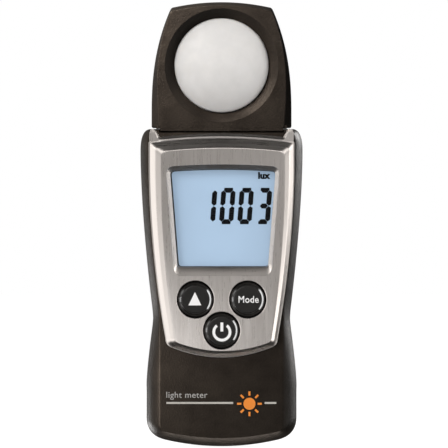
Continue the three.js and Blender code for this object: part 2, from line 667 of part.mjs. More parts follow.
add("left_cell", cell(-CELL.x, true), "cell_wrap");
add("right_cell", cell(CELL.x, false), "cell_wrap");
const springGap = CELL.length + CONTACT + 0.25;
const lowerSpring = contactSpring(-CELL.x, TRAY_LOW + CONTACT + 0.1, TRAY_HIGH - springGap);
const upperSpring = contactSpring(CELL.x, TRAY_LOW + springGap, TRAY_HIGH - CONTACT - 0.1);
add("lower_contact_spring", lowerSpring, "spring_steel");
add("upper_contact_spring", upperSpring, "spring_steel");
add("lower_contact_bridge", contactPlate(-9.5, 9.5, TRAY_LOW + 0.05), "spring_steel");
add("positive_contact", contactPlate(-9.5, -1.5, TRAY_HIGH - CONTACT - 0.05), "spring_steel");
add("negative_contact", contactPlate(1.5, 9.5, TRAY_HIGH - CONTACT - 0.05), "spring_steel");
add("positive_lead", batteryLead(-CELL.x - 1), "lead_red");
add("negative_lead", batteryLead(CELL.x + 1), "chip_black");

["upper_left", "upper_right", "lower_left", "lower_right"].forEach((place, i) =>
  add(`${place}_screw`, screw(screwPlaces[i]), "spring_steel"),
);
add("rear_label", label(), "label_silver");

add("head_front_shell", headFront(), "dark_shell");
add("head_rear_shell", headRear(), "dark_shell");
add("diffuser_dome", diffuserDome(), "opal");
add("dome_retaining_ring", domeRing(), "chip_black");
add("filter_holder", filterHolder(), "chip_black");
add("colour_filter", filterGlass(), "filter_green");
add("photodiode", photodiode(), "spring_steel");
add("sensor_board", sensorBoard(), "board_green");
add("sensor_flat_cable", flatCable(), "cable_amber");

export default meter;
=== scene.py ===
"""The looks of the handheld light meter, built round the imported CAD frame.

Lengths are in millimetres unless said.
"""

import math
from contextlib import contextmanager

import bmesh
import bpy
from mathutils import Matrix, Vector


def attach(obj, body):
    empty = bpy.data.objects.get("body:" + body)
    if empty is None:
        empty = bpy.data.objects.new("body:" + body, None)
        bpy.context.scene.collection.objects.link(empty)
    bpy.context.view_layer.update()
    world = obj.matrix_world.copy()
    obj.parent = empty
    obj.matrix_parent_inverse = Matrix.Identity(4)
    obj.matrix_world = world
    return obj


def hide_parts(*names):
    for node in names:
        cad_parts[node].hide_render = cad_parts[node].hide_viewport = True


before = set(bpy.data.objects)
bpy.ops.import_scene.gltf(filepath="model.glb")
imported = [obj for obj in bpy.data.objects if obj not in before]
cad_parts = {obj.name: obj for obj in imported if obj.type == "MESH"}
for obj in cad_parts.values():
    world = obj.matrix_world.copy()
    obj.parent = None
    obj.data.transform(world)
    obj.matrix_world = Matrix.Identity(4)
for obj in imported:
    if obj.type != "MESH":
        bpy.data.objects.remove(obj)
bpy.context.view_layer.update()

MM = 0.001  # one millimetre, in Blender's metres
HOUSING = "housing"

# The housing
BODY_TOP = 90.0
BODY_HALF = 23.0
WAIST_HALF = 19.3
GRIP_HALF = 21.3
SHOULDER_Z = 83.0
WAIST_Z = 36.4
GRIP_Z = 18.0
BOTTOM_CURVE = 0.0072
WALL = 1.6
FRONT_Y = -10.0
REAR_Y = 12.0
SPLIT_Y = 1.0
APRON_HALF = 17.5

# The bezel
FACE_Y = -12.0
BEZEL_BACK_Y = -10.02
BEZEL_TOP = 87.8
BEZEL_ARCH = 0.0033
FACE_SHIFT = 0.42  # how far the bezel's flat sits to the right of its rim
WINDOW_X = 0.35
WINDOW_BOTTOM = 50.9
WINDOW_TOP = 78.6

# The keys, as places in x and z
KEYS = {"up": (-7.4, 41.7), "mode": (7.4, 41.7), "power": (0.0, 32.9)}
KEY_HOLE = 5.25
KEY_TOP_Y = -11.5

# The sensor head
HEAD_BOTTOM = 90.3
HEAD_TOP = 125.95
HEAD_FRONT_Y = -8.2
HEAD_REAR_Y = 7.5
DOME_Z = 108.0
DOME_RADIUS = 13.3
HEAD_CORNER = 124.4  # the height where the head's sides end

# Openings that two shells share, as ranges in x, y and z
NECK_SLOT = (-16.2, 16.2, -6.4, 6.1, 86, 95)
CABLE_WAY = (-12, 12, -3, 4, 80, 97)

ROUND = 128  # sides of a large turned shape
SMALL_ROUND = 48
TOUCHING = 1e-7  # points closer than this are joined, in metres
STUDIO_TINT = (1.0, 0.985, 0.965)


# ---- Meshes ----


def lerp(a, b, t):
    return a + (b - a) * t


def add_object(name, data):
    obj = bpy.data.objects.new(name, data)
    bpy.context.scene.collection.objects.link(obj)
    return obj


@contextmanager
def editing(mesh):
    """Opens a mesh for editing, and writes it back afterwards."""
    bm = bmesh.new()
    bm.from_mesh(mesh)
    yield bm
    bm.to_mesh(mesh)
    bm.free()


def new_object(name, verts, faces):
    """An object from points in millimetres."""
    mesh = bpy.data.meshes.new(name)
    mesh.from_pydata([(x * MM, y * MM, z * MM) for x, y, z in verts], [], faces)
    with editing(mesh) as bm:
        bmesh.ops.recalc_face_normals(bm, faces=bm.faces)
    return add_object(name, mesh)


def bridged(loops):
    """Points and faces of a closed skin over loops with as many points each."""
    count = len(loops[0])
    verts = [p for loop in loops for p in loop]
    faces = []
    for row in range(len(loops) - 1):
        for i in range(count):
            a, b = row * count + i, row * count + (i + 1) % count
            faces.append((a, b, b + count, a + count))
    for first in (0, (len(loops) - 1) * count):
        faces.append(tuple(range(first, first + count)))
    return verts, faces


def loft(name, levels):
    """A solid through outlines at depths: levels of (y, outline in x and z)."""
    return new_object(name, *bridged([[(x, y, z) for x, z in outline] for y, outline in levels]))


def box(name, x0, x1, y0, y1, z0, z1):
    return loft(name, [(y, [(x0, z0), (x1, z0), (x1, z1), (x0, z1)]) for y in (y0, y1)])


def circle(radius, x, z, sides):
    turn = 2 * math.pi / sides
    return [(x + radius * math.cos(i * turn), z + radius * math.sin(i * turn)) for i in range(sides)]


def turned(name, profile, x, z, sides=ROUND):
    """A solid turned about the line along Y at (x, z).

    The profile is a list of (radius, y) that starts and ends off the axis.
    """
    return loft(name, [(y, circle(r, x, z, sides)) for r, y in profile])


def rod(name, radius, y0, y1, x, z, sides=SMALL_ROUND):
    return turned(name, [(radius, y0), (radius, y1)], x, z, sides)


def rounded(points, radii, steps=5):
    """An open polyline with its inner corners rounded. radii has one value per inner corner."""
    made = [points[0]]
    for before, tip, after, radius in zip(points, points[1:], points[2:], radii):
        a, t, b = Vector(before), Vector(tip), Vector(after)
        to_a, to_b = (a - t).normalized(), (b - t).normalized()
        reach = min(radius / max(math.tan(to_a.angle(to_b, math.pi) / 2), 1e-6), (a - t).length * 0.49,
                    (b - t).length * 0.49)
        start, end = t + to_a * reach, t + to_b * reach
        for i in range(steps + 1):
            u = i / steps
            made.append(tuple(start * (1 - u) ** 2 + t * 2 * u * (1 - u) + end * u * u))
    made.append(points[-1])
    return made


def combine(base, tools, operation="DIFFERENCE"):
    """base with the tools cut from it, joined to it or met with it. The tools are used up."""
    for tool in tools:
        modifier = base.modifiers.new("combine", "BOOLEAN")
        modifier.operation, modifier.solver, modifier.object = operation, "EXACT", tool
    bpy.context.view_layer.update()
    graph = bpy.context.evaluated_depsgraph_get()
    mesh = bpy.data.meshes.new_from_object(base.evaluated_get(graph))
    base.modifiers.clear()
    base.data = mesh
    for tool in tools:
        bpy.data.objects.remove(tool)
    return base


def shade(obj, sharp_degrees=32):
    """Cleans the mesh and sets smooth shading with sharp creases."""
    with editing(obj.data) as bm:
        bmesh.ops.remove_doubles(bm, verts=bm.verts, dist=TOUCHING)
        bmesh.ops.dissolve_degenerate(bm, edges=bm.edges, dist=TOUCHING)
    obj.data.shade_smooth()
    obj.data.set_sharp_from_angle(angle=math.radians(sharp_degrees))
    weighted = obj.modifiers.new("weighted", "WEIGHTED_NORMAL")
    weighted.keep_sharp = True
    return obj


def set_material(obj, material):
    obj.data.materials.clear()
    obj.data.materials.append(material)


def piece(obj, body, material, replaces=()):
    """Gives a finished piece its material and its place in the frame."""
    set_material(obj, material)
    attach(obj, body)
    if replaces:
        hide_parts(*replaces)
    return obj


# ---- Outlines ----


def curve(a, tip, b, steps):
    """Points of a quadratic curve after its first point."""
    made = []
    for i in range(1, steps + 1):
        t = i / steps
        made.append(tuple(a[k] * (1 - t) ** 2 + tip[k] * 2 * t * (1 - t) + b[k] * t * t for k in (0, 1)))
    return made


def mirrored(half):
    return half + [(-x, z) for x, z in reversed(half[1:-1])]


def sided_outline(half_width, bottom_at, top_at, foot, shoulder, middle, arc=24, corner=10):
    """A closed outline with curved sides. middle is a height that all outlines of a loft have a point at."""
    low = bottom_at(0)
    for _ in range(3):
        low = bottom_at(half_width(low + foot[1]))
    side_start = low + foot[1]
    x_low = half_width(side_start)
    x_arc = x_low - foot[0]
    half = [(x_arc * i / arc, bottom_at(x_arc * i / arc)) for i in range(arc + 1)]
    half += curve(half[-1], (x_low, low), (half_width(side_start), side_start), corner)
    x_top = half_width(top_at(0) - shoulder[1])
    side_end = top_at(x_top) - shoulder[1]
    for z0, z1, steps in ((side_start, middle, 24), (middle, side_end, 44)):
        heights = [lerp(z0, z1, (i + 1) / steps) for i in range(steps)]
        half += [(half_width(z), z) for z in heights]
    x_edge = half_width(side_end) - shoulder[0]
    tip = (half_width(top_at(x_top)), top_at(x_top))
    half += curve(half[-1], tip, (x_edge, top_at(x_edge)), corner)
    top_steps = 16
    across = [x_edge * (1 - i / top_steps) for i in range(1, top_steps + 1)]
    half += [(x, top_at(x)) for x in across]
    return mirrored(half)


def body_half(z):
    """Half width of the housing, with the crease at the waist eased over a millimetre or so."""
    rise = min(1.0, max(0.0, (z - WAIST_Z) / (SHOULDER_Z - WAIST_Z)))
    upper = BODY_HALF - (BODY_HALF - WAIST_HALF) * (1 - rise) ** 1.6
    fall = min(1.0, max(0.0, (z - GRIP_Z) / (WAIST_Z - GRIP_Z)))
    lower = GRIP_HALF - (GRIP_HALF - WAIST_HALF) * fall ** 1.3
    ease = 0.12 * math.exp(-(((z - WAIST_Z) / 1.2) ** 2))
    return max(upper if z > WAIST_Z else lower, 0) + ease


def bezel_half(z):
    return 20.6 - 4.95 * max(0.0, (80 - z) / 50.5) ** 1.85


def front_half(z):
    """Half width of the front case's flat front, eased where the bezel's edge meets the straight crease."""
    a, b = bezel_half(z) + 0.15, APRON_HALF
    return 0.5 * (a + b + math.sqrt((a - b) ** 2 + 0.1))


def head_half(z):
    return 19.85 - 5.6 * min(1.0, max(0.0, (z - 94) / 30.4)) ** 2.45


def body_outline(share, inset, bottom, top, wall=0.0):
    size = min(1.0, max(0.0, share))
    return sided_outline(
        lambda z: body_half(z) - share * inset(z) - wall,
        lambda x: BOTTOM_CURVE * x * x + share * bottom + wall,
        lambda x: BODY_TOP - share * top - wall,
        (lerp(5, 1.5, size), lerp(5, 1.5, size)),
        (lerp(3, 1.5, size), lerp(6, 2.5, size)),
        WAIST_Z,
    )


def eased_levels(start, end, power, edge):
    """(depth, share) pairs from the split to a flat face: share grows with power, then rounds into the flat.

    edge is how far before the flat the rounding begins.
    """
    steps = 14
    turn = end - math.copysign(edge, end - start)
    share = lambda y: ((y - start) / (end - start)) ** power
    levels = [(lerp(start, turn, i / steps), share(lerp(start, turn, i / steps))) for i in range(steps + 1)]
    slope = power * share(turn) / (turn - start)
    tip = (end, share(turn) + slope * (end - turn))
    flat = (end, tip[1] + 0.35 * edge * abs(slope))
    return levels + curve(levels[-1], tip, flat, 6)


def front_loft(name, wall=0.0, start=SPLIT_Y, end=FRONT_Y):
    inset = lambda z: body_half(z) - front_half(z)
    levels = eased_levels(SPLIT_Y, end, 4, 0.7)
    levels[0] = (start, 0.0)
    return loft(name, [(y, body_outline(s, inset, 2.5, 1.0, wall)) for y, s in levels])


def rear_loft(name, wall=0.0, start=SPLIT_Y + 0.1, end=REAR_Y):
    levels = eased_levels(SPLIT_Y + 0.1, end, 4, 0.7)
    levels[0] = (start, 0.0)
    return loft(name, [(y, body_outline(s * 0.97, lambda z: 2.2, 2.2, 2.2, wall)) for y, s in levels])


def window_outline(side, bottom, top):
    """The display opening grown by a margin at its sides, bottom and top."""
    outline = sided_outline(
        lambda z: lerp(12.8, 15.0, (z - WINDOW_BOTTOM) / (WINDOW_TOP - WINDOW_BOTTOM)) + side,
        lambda x: WINDOW_BOTTOM - bottom,
        lambda x: WINDOW_TOP + top - 0.0025 * x * x,
        (1.2 + side, 1.2 + bottom),
        (1.2 + side, 1.2 + top),
        65.0,
        arc=8,
        corner=8,
    )
    return [(x + WINDOW_X, z) for x, z in outline]


def even_window(margin):
    return window_outline(margin, margin, margin)


def head_outline(share, wall=0.0):
    bevel = lambda z: 0.4 + 1.8 * max(0.0, (HEAD_CORNER - z) / (HEAD_CORNER - HEAD_BOTTOM)) ** 1.5
    return sided_outline(
        lambda z: head_half(z) - share * bevel(z) - wall,
        lambda x: HEAD_BOTTOM + wall,
        lambda x: HEAD_TOP - 0.008 * x * x - share - wall,
        (0.6, 0.6),
        (0.9, 0.9),
        100.0,
        arc=8,
        corner=6,
    )


# ---- Materials ----


class Nodes:
    """A short way to write a procedural material."""

    def __init__(self, name):
        self.material = bpy.data.materials.new(name)
        self.material.use_nodes = True
        self.tree = self.material.node_tree
        self.shader = self.tree.nodes["Principled BSDF"]
        self.place = self.tree.nodes.new("ShaderNodeTexCoord").outputs["Object"]

    def add(self, kind, **values):
        node = self.tree.nodes.new(kind)
        for key, value in values.items():
            setattr(node, key, value)
        return node

    def link(self, a, b):
        self.tree.links.new(a, b)

    def set(self, **values):
        """Shader sockets by name, with _ for a space."""
        for key, value in values.items():
            self.shader.inputs[key.replace("_", " ")].default_value = value

    def scaled(self, x, y, z):
        node = self.add("ShaderNodeMapping")
        node.inputs["Scale"].default_value = (x, y, z)
        self.link(self.place, node.inputs["Vector"])
        return node.outputs["Vector"]

    def noise(self, scale, detail=3.0, roughness=0.5):
        """Noise from 0 to 1. scale is a number, or one for each of x, y and z, in cells per metre."""
        scale = scale if hasattr(scale, "__len__") else (scale, scale, scale)
        node = self.add("ShaderNodeTexNoise")
        node.inputs["Scale"].default_value = 1.0
        node.inputs["Detail"].default_value = detail
        node.inputs["Roughness"].default_value = roughness
        self.link(self.scaled(*scale), node.inputs["Vector"])
        return node.outputs["Fac"]

    def spread(self, value, low, high, start=0.35, end=0.65):
        node = self.add("ShaderNodeMapRange")
        for socket, number in zip(("From Min", "From Max", "To Min", "To Max"), (start, end, low, high)):
            node.inputs[socket].default_value = number
        self.link(value, node.inputs["Value"])
        return node.outputs["Result"]

    def mixed(self, factor, a, b):
        """A colour between a and b."""
        node = self.add("ShaderNodeMix", data_type="RGBA")
        self.link(factor, node.inputs["Factor"])
        for socket, colour in zip(("A", "B"), (a, b)):
            found = [s for s in node.inputs if s.name == socket and s.type == "RGBA"][0]
            found.default_value = (*colour, 1.0)
        return [s for s in node.outputs if s.type == "RGBA"][0]

    def size(self, value):
        """A number without its sign."""
        node = self.add("ShaderNodeMath", operation="ABSOLUTE")
        self.link(value, node.inputs[0])
        return node.outputs[0]

    def times(self, a, b):
        node = self.add("ShaderNodeMath", operation="MULTIPLY")
        self.link(a, node.inputs[0])
        self.link(b, node.inputs[1])
        return node.outputs[0]

    def height(self):
        """The height on the object, in metres."""
        split = self.add("ShaderNodeSeparateXYZ")
        self.link(self.place, split.inputs["Vector"])
        return split.outputs["Z"]

    def blend(self, factor, a, b):
        """A number between a and b."""
        node = self.add("ShaderNodeMix", data_type="FLOAT")
        for socket, value in zip(node.inputs[:1] + [node.inputs[2], node.inputs[3]], (factor, a, b)):
            if isinstance(value, float):
                socket.default_value = value
            else:
                self.link(value, socket)
        return node.outputs[0]

    def bump(self, height, strength, depth):
        """depth is in metres. Calls build on each other."""
        node = self.add("ShaderNodeBump")
        node.inputs["Strength"].default_value = strength
        node.inputs["Distance"].default_value = depth
        self.link(height, node.inputs["Height"])
        before = self.shader.inputs["Normal"]
        if before.is_linked:
            self.link(before.links[0].from_socket, node.inputs["Normal"])
        self.link(node.outputs["Normal"], before)

    def drive(self, socket, value):
        self.link(value, self.shader.inputs[socket])


def textured_plastic(name, dark, light, rough=(0.4, 0.52), grain=3600.0, depth=3e-5, specular=0.5,
                     tint=(1.0, 1.0, 1.0)):
    """Moulded plastic with a spark-eroded grain and faint handling marks."""
    m = Nodes(name)
    blotches = m.noise(120.0, 3.0)
    fine = m.noise(grain, 2.0, 0.6)
    m.drive("Base Color", m.mixed(m.blend(0.5, m.spread(blotches, 0, 1), m.spread(fine, 0, 1)), dark, light))
    m.drive("Roughness", m.spread(m.noise(420.0, 4.0), *rough))
    m.set(Specular_IOR_Level=specular)
    m.shader.inputs["Specular Tint"].default_value = (*tint, 1.0)
    m.bump(fine, 0.6, depth)
    m.bump(m.noise(900.0, 3.0), 0.25, 3e-5)
    return m.material


def printed(name, dark, light, rough, specular=0.5):
    """Ink, with a finer and shallower grain than the moulded parts."""
    return textured_plastic(name, dark, light, rough, 6000.0, 5e-6, specular)


def brushed_metal(name):
    """Warm grey metal, brushed along Z on its flat face, most of all low down, and faintly on its bevels."""
    m = Nodes(name)
    normal = m.add("ShaderNodeSeparateXYZ")
    m.link(m.tree.nodes["Texture Coordinate"].outputs["Normal"], normal.inputs["Vector"])
    tilt_up = m.size(normal.outputs["Z"])
    low_down = m.spread(m.height(), 1.0, 0.3, 0.038, 0.056)
    flat = m.times(low_down, m.spread(m.size(normal.outputs["Y"]), 0.12, 1.0, 0.95, 0.995))
    sideways = m.spread(tilt_up, 0.0, 1.0, 0.2, 0.45)
    broad = m.blend(
        sideways,
        m.noise((1000.0, 300.0, 90.0), 4.0, 0.65),
        m.noise((90.0, 900.0, 900.0), 3.0, 0.6),
    )
    fine = m.blend(
        sideways,
        m.noise((4200.0, 900.0, 130.0), 3.0, 0.6),
        m.noise((130.0, 3000.0, 3000.0), 2.0, 0.6),
    )
    tone = m.blend(flat, 0.5, m.spread(broad, 0, 1))
    m.drive("Base Color", m.mixed(tone, (0.545, 0.507, 0.48), (0.635, 0.597, 0.57)))
    m.drive("Roughness", m.spread(fine, 0.27, 0.33))
    m.set(Metallic=1.0, Anisotropic=0.55, Anisotropic_Rotation=0.0)
    tangent = m.add("ShaderNodeTangent", direction_type="RADIAL", axis="Z")
    m.drive("Tangent", tangent.outputs["Tangent"])
    m.bump(m.blend(flat, 0.5, fine), 0.2, 1.2e-5)
    m.bump(m.blend(flat, 0.5, broad), 0.12, 2e-5)
    return m.material


def gloss_plastic(name, colour, rough, coat=0.0):
    m = Nodes(name)
    grain = 700.0
    lighter = tuple(min(1.0, c * 1.25 + 0.002) for c in colour)
    m.drive("Base Color", m.mixed(m.spread(m.noise(grain), 0, 1), colour, lighter))
    m.drive("Roughness", m.spread(m.noise(grain * 0.6, 4.0), rough, rough * 1.5))
    m.set(Coat_Weight=coat, Coat_Roughness=0.05)
    m.bump(m.noise(grain * 2.5, 2.0), 0.08, 1e-5)
    return m.material


def plain_metal(name, colour, rough=0.25):
    m = Nodes(name)
    darker = tuple(c * 0.8 for c in colour)
    m.drive("Base Color", m.mixed(m.spread(m.noise(900.0), 0, 1), darker, colour))
    m.drive("Roughness", m.spread(m.noise((500.0, 500.0, 3000.0), 4.0), rough, rough * 1.8))
    m.set(Metallic=1.0)
    m.bump(m.noise(2600.0, 2.0), 0.1, 1e-5)
    return m.material


def opal(name):
    """Translucent white diffuser plastic."""
    m = Nodes(name)
    cloud = m.spread(m.noise(260.0, 3.0), 0, 1)
    m.drive("Base Color", m.mixed(cloud, (0.67, 0.66, 0.652), (0.71, 0.698, 0.69)))
    m.drive("Roughness", m.spread(m.noise(1500.0), 0.5, 0.58))
    m.set(Subsurface_Weight=0.35, Subsurface_Scale=0.002, Specular_IOR_Level=0.35)
    m.shader.inputs["Subsurface Radius"].default_value = (1.0, 0.9, 0.8)
    m.bump(m.noise(3000.0, 2.0), 0.12, 1e-5)
    return m.material


def lcd_panel_with_painted_glow(name):
    """The display's pale blue reflector, a little uneven. It glows in its own colour: painted light that
    keeps it bright behind the lens.
    """
    m = Nodes(name)
    cloud = m.noise(60.0, 2.0)
    sparkle = m.noise(4200.0, 2.0)
    base = m.mixed(m.spread(cloud, 0, 1), (0.268, 0.345, 0.445), (0.288, 0.37, 0.475))
    m.drive("Base Color", base)
    m.drive("Roughness", m.spread(sparkle, 0.42, 0.55))
    # Painted light: the reflector glows in its own colour, as if lit
    m.drive("Emission Color", base)
    m.set(Emission_Strength=0.75, Specular_IOR_Level=0.1)
    m.bump(sparkle, 0.1, 1e-5)
    return m.material


def clear_lens(name):
    """A thin clear window that shows what is behind it, with a faint sheen."""
    m = Nodes(name)
    clear = m.add("ShaderNodeBsdfTransparent")
    clear.inputs["Color"].default_value = (0.97, 0.985, 0.99, 1.0)
    gloss = m.add("ShaderNodeBsdfGlossy")
    gloss.inputs["Color"].default_value = (1.0, 1.0, 1.0, 1.0)
    m.link(m.spread(m.noise(220.0, 3.0), 0.05, 0.1), gloss.inputs["Roughness"])
    # Schlick's curve, which is the same on both faces. A Fresnel node turns the back face into a mirror.
    slant = m.add("ShaderNodeLayerWeight")
    slant.inputs["Blend"].default_value = 0.5
    grazing = m.times(slant.outputs["Facing"], slant.outputs["Facing"])
    steep = m.times(m.times(grazing, grazing), slant.outputs["Facing"])
    mix = m.add("ShaderNodeMixShader")
    m.link(m.spread(steep, 0.008, 1.0, 0.0, 1.0), mix.inputs["Fac"])
    m.link(clear.outputs["BSDF"], mix.inputs[1])
    m.link(gloss.outputs["BSDF"], mix.inputs[2])
    m.link(mix.outputs["Shader"], m.tree.nodes["Material Output"].inputs["Surface"])
    m.tree.nodes.remove(m.shader)
    return m.material


def circuit_board(name):
    """Green solder mask with fine darker traces."""
    m = Nodes(name)
    lines = m.add("ShaderNodeTexWave", wave_type="BANDS", bands_direction="DIAGONAL")
    lines.inputs["Scale"].default_value = 1.0
    lines.inputs["Distortion"].default_value = 6.0
    m.link(m.scaled(260.0, 260.0, 260.0), lines.inputs["Vector"])
    m.drive("Base Color", m.mixed(lines.outputs["Fac"], (0.012, 0.07, 0.028), (0.02, 0.13, 0.05)))
    m.drive("Roughness", m.spread(m.noise(1200.0), 0.3, 0.45))
    m.bump(lines.outputs["Fac"], 0.3, 3e-5)
    return m.material


def cell_wrap(name):
    """A plain printed sleeve in two colours, split across the cell's length."""
    m = Nodes(name)
    band = m.spread(m.height(), 0, 1, 0.0405, 0.0407)
    m.drive("Base Color", m.mixed(band, (0.03, 0.07, 0.14), (0.42, 0.3, 0.08)))
    m.drive("Roughness", m.spread(m.noise(700.0), 0.22, 0.34))
    m.set(Metallic=0.3)
    m.bump(m.noise(500.0, 3.0), 0.1, 2e-5)
    return m.material


WARM = (1.0, 0.86, 0.74)
SHELL = textured_plastic(
    "shell_plastic",
    (0.0015, 0.0011, 0.0009),
    (0.006, 0.0049, 0.004),
    rough=(0.38, 0.48),
    grain=2100.0,
    depth=1.7e-4,
    specular=0.12,
    tint=WARM,
)
DOOR_SHELL = textured_plastic(
    "door_plastic",
    (0.0055, 0.0042, 0.0033),
    (0.0085, 0.0068, 0.0055),
    rough=(0.4, 0.5),
    grain=1500.0,
    depth=1.5e-4,
    specular=0.3,
    tint=WARM,
)
METAL = brushed_metal("brushed_metal")
KEY_GLOSS = gloss_plastic("key_gloss", (0.005, 0.0045, 0.004), 0.08)
KEY_FACE = textured_plastic(
    "key_face",
    (0.009, 0.0085, 0.0078),
    (0.012, 0.0112, 0.0104),
    rough=(0.36, 0.46),
    grain=3000.0,
    depth=2e-5,
    specular=0.3,
)
PRINT_WHITE = printed("white_print", (0.86, 0.86, 0.86), (0.92, 0.92, 0.92), (0.45, 0.55))
PRINT_GREY = printed("grey_print", (0.36, 0.35, 0.34), (0.42, 0.41, 0.4), (0.4, 0.5))
PRINT_SILVER = printed("silver_print", (0.42, 0.4, 0.37), (0.52, 0.5, 0.46), (0.32, 0.42))
PRINT_AMBER = printed("amber_print", (0.75, 0.22, 0.02), (0.85, 0.27, 0.03), (0.4, 0.5))
LCD_INK = printed("lcd_ink", (0.0015, 0.0015, 0.0025), (0.0022, 0.0022, 0.0035), (0.5, 0.6), 0.05)
LCD = lcd_panel_with_painted_glow("lcd_reflector_painted_glow")
OPAL = opal("opal_dome")
STEEL = plain_metal("plated_steel", (0.6, 0.6, 0.58))
FOIL = plain_metal("label_foil", (0.5, 0.5, 0.49), 0.35)
LENS = clear_lens("lens_clear")
WHITE = textured_plastic("white_plastic", (0.62, 0.62, 0.6), (0.7, 0.7, 0.68), (0.4, 0.5))
CHIP = textured_plastic("chip_moulding", (0.014, 0.014, 0.015), (0.022, 0.022, 0.024), (0.45, 0.6))
BOARD = circuit_board("circuit_board")
RUBBER = textured_plastic("soft_rubber", (0.03, 0.03, 0.032), (0.04, 0.04, 0.042), (0.7, 0.85))
WRAP = cell_wrap("cell_wrap")
FILTER = gloss_plastic("filter_glass", (0.12, 0.3, 0.09), 0.08, coat=0.5)
FILM = gloss_plastic("cable_film", (0.35, 0.13, 0.025), 0.3)
LEAD_RED = gloss_plastic("lead_red", (0.4, 0.02, 0.02), 0.35)
LEAD_BLACK = gloss_plastic("lead_black", (0.02, 0.02, 0.02), 0.35)

# ---- Housing ----

SEAM_DEPTH = 0.25  # how deep the fine groove between two shells is
NOTCH_HALF = 17.7  # the gap in the front case's top edge, where the head's chin sits
DOOR_TOP = 60.3
BELOW_CASE = -5  # the door's channel runs out through the bottom, so its cutters start here

# The case screws, as places in x and z
SCREWS = {
    "upper_left": (-18.7, 80.0),
    "upper_right": (18.7, 80.0),
    "lower_left": (-16.6, 16.0),
    "lower_right": (16.6, 16.0),
}


def make_front_case():
    shell = front_loft("front_shell")
    hollow = front_loft("hollow", WALL, SPLIT_Y + 0.5, FRONT_Y + WALL)
    seat = loft("seat", [(y, even_window(1.1)) for y in (-11, -8.85)])
    opening = loft("opening", [(y, even_window(0.1)) for y in (-11, -8)])
    holes = [rod("hole", KEY_HOLE, -11, -8, x, z, 96) for x, z in KEYS.values()]
    slot = box("slot", *NECK_SLOT)
    notch = box("notch", -NOTCH_HALF, NOTCH_HALF, -11, -6.5, 88.9, 95)
    combine(shell, [hollow])
    combine(shell, [seat, opening, slot, notch, *holes])
    return piece(shade(shell), HOUSING, SHELL, ["front_case"])


def make_rear_case():
    shell = rear_loft("rear_shell")
    ridge = body_outline(0.0, lambda z: 0.0, 0.0, 0.0, SEAM_DEPTH)
    combine(shell, [loft("ridge", [(SPLIT_Y, ridge), (SPLIT_Y + 0.3, ridge)])], "UNION")
    outer = rear_loft("outer")
    hollow = rear_loft("hollow", WALL, SPLIT_Y - 0.5, REAR_Y - WALL)
    combine(shell, [hollow])
    tray = box("tray", -12.4, 12.4, -1.4, 10.8, 8.8, 59.2)
    ledge = combine(box("ledge", -16.2, 16.2, 9, 11, 1, 62.5), [outer], "INTERSECT")
    combine(shell, [tray, ledge], "UNION")
    tools = [
        box("pocket", -11.2, 11.2, -0.6, 13, 10, 58),
        box("tongues", -14.5, 14.5, 10.2, 11.3, BELOW_CASE, 60.5),
        box("channel", -13.7, 13.7, 11.1, 13, BELOW_CASE, 60.5),
        box("recess", -13, 13, REAR_Y - 0.25, 13, 66, 82),
        box("slot", *NECK_SLOT),
    ]
    for x, z in SCREWS.values():
        tools.append(turned("well", [(1.8, 8.8), (1.8, 11.85), (1.95, 12.05), (1.95, 13)], x, z, SMALL_ROUND))
    combine(shell, tools)
    return piece(shade(shell), HOUSING, SHELL, ["rear_case"])


def make_battery_door():
    plate = box("battery_door_panel", -13.5, 13.5, 11.0, 13, BELOW_CASE, DOOR_TOP)
    tongues = box("tongues", -14.3, 14.3, 10.4, 11.1, BELOW_CASE, DOOR_TOP)
    combine(plate, [tongues], "UNION")
    combine(plate, [rear_loft("outer")], "INTERSECT")
    grooves = []
    for i in range(5):
        z, reach = 50 - 1.8 * i, 5 - 0.6 * i
        groove = [(REAR_Y + 1, z - 0.1), (REAR_Y - 0.4, z), (REAR_Y - 0.4, z + 0.9), (REAR_Y + 1, z + 1.0)]
        section = rounded(groove, [0.2, 0.2], 3)
        loops = [[(x, y, h) for y, h in section] for x in (-reach, reach)]
        grooves.append(new_object("groove", *bridged(loops)))
    combine(plate, grooves)
    return piece(shade(plate), "battery_cover", DOOR_SHELL, ["battery_door"])


# ---- Bezel ----


def bezel_outline(share):
    side = lambda z: lerp(2.2, 3.2, min(1.0, max(0.0, (z - 30) / 45)))
    # The top and bottom bevels stay flat where the sides bulge
    straight = share + 0.4 * share * (1 - share)
    outline = sided_outline(
        lambda z: bezel_half(z) - share * side(z),
        lambda x: 25.3 + 0.0142 * x * x + 1.8 * straight,
        lambda x: BEZEL_TOP - BEZEL_ARCH * x * x - 3.25 * straight,
        (lerp(1.6, 1.4, share), lerp(1.6, 1.4, share)),
        (lerp(0.5, 1.8, share), lerp(0.5, 1.8, share)),
        50.0,
        arc=32,
        corner=8,
    )
    return [(x + share * FACE_SHIFT, z) for x, z in outline]


